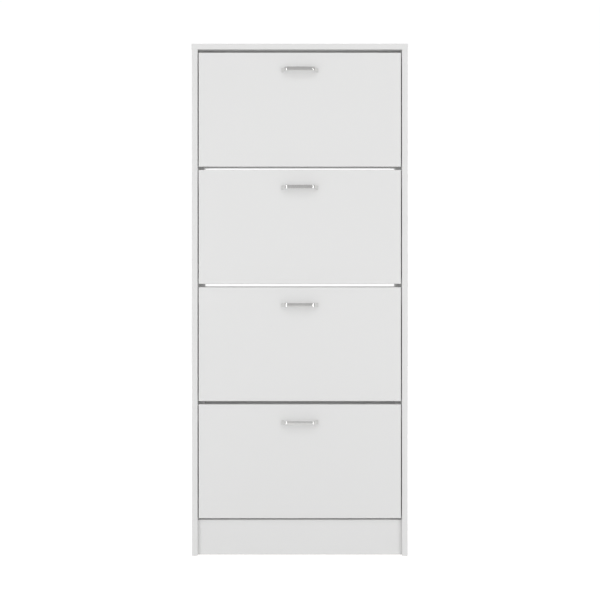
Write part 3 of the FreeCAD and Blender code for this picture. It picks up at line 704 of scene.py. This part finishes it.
def gusset(mesh, corner, inward):
    """A small three-cornered rib between the web and the flange."""
    points = [corner, corner + Vector((inward * GUSSET_REACH, 0, 0)),
              corner + Vector((0, GUSSET_REACH, 0))]
    plate = bmesh.new()
    face = plate.faces.new([plate.verts.new(point) for point in points])
    extrude_on(plate, face, (0, 0, GUSSET))
    mesh.from_mesh(as_template(plate))


for number, joint in zip(unit_numbers, frame["joints"]):
    pivot = Vector(joint["pos_m"])
    swing = math.radians(joint["range_deg"][1])
    screw_heights = sorted({round((low.z + high.z) / 2, 5)
                            for low, high in solids_of(f"arm_screws_{number}")})
    flap_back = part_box(f"flap_{number}")[1].y
    for hand, inward in (("left", 1), ("right", -1)):
        node = f"arm_{hand}_{number}"
        flap_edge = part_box(f"flap_{number}")[0 if inward > 0 else 1].x
        web_face = flap_edge + inward * WEB
        arm = moulded_copy(node)
        hub_ring(arm, (web_face, pivot.y, pivot.z), inward)
        slot_lip(arm, (web_face, pivot.y, pivot.z), swing)
        for below, above in zip(screw_heights, screw_heights[1:]):
            for share in (1 / 3, 2 / 3):
                level = below + (above - below) * share
                gusset(arm, Vector((web_face, flap_back + FLANGE, level)), inward)
        piece = add_piece(f"side_arm_{hand}_{number}", arm, f"flap_unit_{number}", "moulded_arm",
                          grey_plastic, node)
        round_edges(piece, 0.0004)

# ------------------------------------------------------------------ pocket boards
# Behind every flap a floor board carries two rows of shoes, parted by a divider and closed by a
# back board. They are thinner melamine-faced boards that slide into the arms' ribs. Their white
# is set lighter than the carcase's same melamine: painted light that brightens the dim inside.
# painted light: a lighter white than the carcase boards' to lift the shaded inside of the pockets
POCKET_WHITE_PAINTED_LIGHT = 0.83
for number in unit_numbers:
    for name, thin in (("pocket_floor", "Z"), ("pocket_back", "Y"), ("divider", "Y")):
        node = f"{name}_{number}"
        dress(node, board_material(node, thin, white=POCKET_WHITE_PAINTED_LIGHT))

# ------------------------------------------------------------------ flaps
# Four white fronts of the same board as the carcase, banded on all four edges.
for number in unit_numbers:
    node = f"flap_{number}"
    dress(node, board_material(node, "Y"))

# ------------------------------------------------------------------ bow handles
# A die-cast bar bent to a bow and plated in satin nickel: a flat rounded grip, a close bend at
# each end and a leg that leans out to a slightly flared foot on the flap.
satin_nickel = metal_material("satin_nickel", (0.86, 0.855, 0.845), rough=0.22, relief=0.12,
                              stretch=(0.05, 1.0, 1.0))
GRIP_HEIGHT = 0.0108
GRIP_THICKNESS = 0.0056
GRIP_CORNER = 0.0014
GRIP_HALF = 0.0345
BEND_RADIUS = 0.0072
LEG_LEAN = math.radians(66.0)
FOOT_DEPTH = 0.0022
FOOT_FLARE = 1.10


def half_bow(projection):
    """The right half of a handle, its foot on the plane y = 0 and its grip at minus y."""
    mesh = bmesh.new()
    bmesh.ops.create_grid(mesh, x_segments=1, y_segments=1, size=0.5)
    bmesh.ops.scale(mesh, verts=mesh.verts, vec=(GRIP_HEIGHT, GRIP_THICKNESS, 1.0))
    bmesh.ops.bevel(mesh, geom=mesh.verts[:], offset=GRIP_CORNER, segments=5, profile=0.5,
                    affect="VERTICES", material=-1)
    bmesh.ops.rotate(mesh, verts=mesh.verts, cent=(0, 0, 0),
                     matrix=Matrix.Rotation(math.radians(90), 3, "Y"))
    grip_line = projection - GRIP_THICKNESS / 2
    bmesh.ops.translate(mesh, verts=mesh.verts, vec=(0, -grip_line, 0))
    [start] = mesh.faces
    end = extrude_on(mesh, start, (GRIP_HALF, 0, 0))
    bent = bmesh.ops.spin(mesh, geom=whole(end), cent=(GRIP_HALF, BEND_RADIUS - grip_line, 0),
                          axis=(0, 0, 1), dvec=(0, 0, 0), angle=LEG_LEAN, steps=10,
                          use_duplicate=False)["geom_last"]
    end = next(part for part in bent if isinstance(part, bmesh.types.BMFace))
    down_leg = Vector((math.cos(LEG_LEAN), math.sin(LEG_LEAN), 0))
    drop = -end.calc_center_median().y - FOOT_DEPTH
    end = extrude_on(mesh, end, down_leg * drop / down_leg.y)
    for vert in end.verts:
        vert.co += down_leg * (-FOOT_DEPTH - vert.co.y) / down_leg.y
    foot = extrude_on(mesh, end, (0, FOOT_DEPTH * 0.35, 0))
    centre = foot.calc_center_median()
    bmesh.ops.scale(mesh, verts=foot.verts, vec=(FOOT_FLARE, 1.0, FOOT_FLARE),
                    space=Matrix.Translation(-centre))
    extrude_on(mesh, foot, (0, FOOT_DEPTH * 0.65, 0))
    cut_end = [face for face in mesh.faces if all(abs(vert.co.x) < 1e-6 for vert in face.verts)]
    bmesh.ops.delete(mesh, geom=cut_end, context="FACES_ONLY")
    return mesh


for number in unit_numbers:
    low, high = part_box(f"handle_{number}")
    bow = half_bow(high.y - low.y)
    bmesh.ops.mirror(bow, geom=bow.verts[:] + bow.edges[:] + bow.faces[:], axis="X",
                     merge_dist=0.00001)
    bmesh.ops.remove_doubles(bow, verts=bow.verts, dist=0.000001)
    bmesh.ops.recalc_face_normals(bow, faces=bow.faces)
    bmesh.ops.translate(bow, verts=bow.verts, vec=(0, high.y, (low.z + high.z) / 2))
    add_piece(f"bow_handle_{number}", bow, f"flap_unit_{number}", "satin_handle", satin_nickel,
              f"handle_{number}")

# ------------------------------------------------------------------ screws
# Zinc-plated pan-head screws with a cross recess: six hold each unit's arms to the flap and two
# come through the flap into the handle's feet.
HEAD_RISE = 0.0022
ARM_SCREW = {"shank": 0.00175, "head": 0.0035, "reach": 0.0019}
HANDLE_SCREW = {"shank": 0.0020, "head": 0.0040, "reach": 0.0022}


def pan_head_screw(length, shank, head, reach):
    """A screw with its tip down and its head's seat at z = 0; reach is its recess's."""
    thread_foot = shank * 0.78
    pitch = shank * 0.8
    profile = [(0.0, -length), (shank * 0.5, shank * 1.6 - length)]
    turns = int((length - shank * 3.2) / pitch)
    for turn in range(turns):
        height = shank * 2.0 - length + turn * pitch
        profile += [(shank, height), (thread_foot, height + pitch / 2)]
    profile += [(shank, -shank * 0.8), (shank, 0.0), (head * 0.96, 0.0),
                (head, HEAD_RISE * 0.12), (head * 0.98, HEAD_RISE * 0.45),
                (head * 0.88, HEAD_RISE * 0.76), (head * 0.70, HEAD_RISE * 0.95),
                (reach * 1.12, HEAD_RISE)]
    mesh = turned(profile, 24)
    cut_cross(mesh, reach, HEAD_RISE * 0.85)
    return as_template(mesh)


for number in unit_numbers:
    for node, name, size in (
            (f"arm_screws_{number}", "arm_screw_set", ARM_SCREW),
            (f"handle_screws_{number}", "handle_screw_set", HANDLE_SCREW)):
        boxes = solids_of(node)
        shape = pan_head_screw(boxes[0][1].y - boxes[0][0].y - HEAD_RISE, **size)
        screws = bmesh.new()
        for low, high in boxes:
            middle = (low + high) / 2
            stamp(screws, shape, (middle.x, high.y - HEAD_RISE, middle.z), (0, 1, 0))
        add_piece(f"{name}_{number}", screws, f"flap_unit_{number}", "zinc_steel", zinc_plate,
                  node)
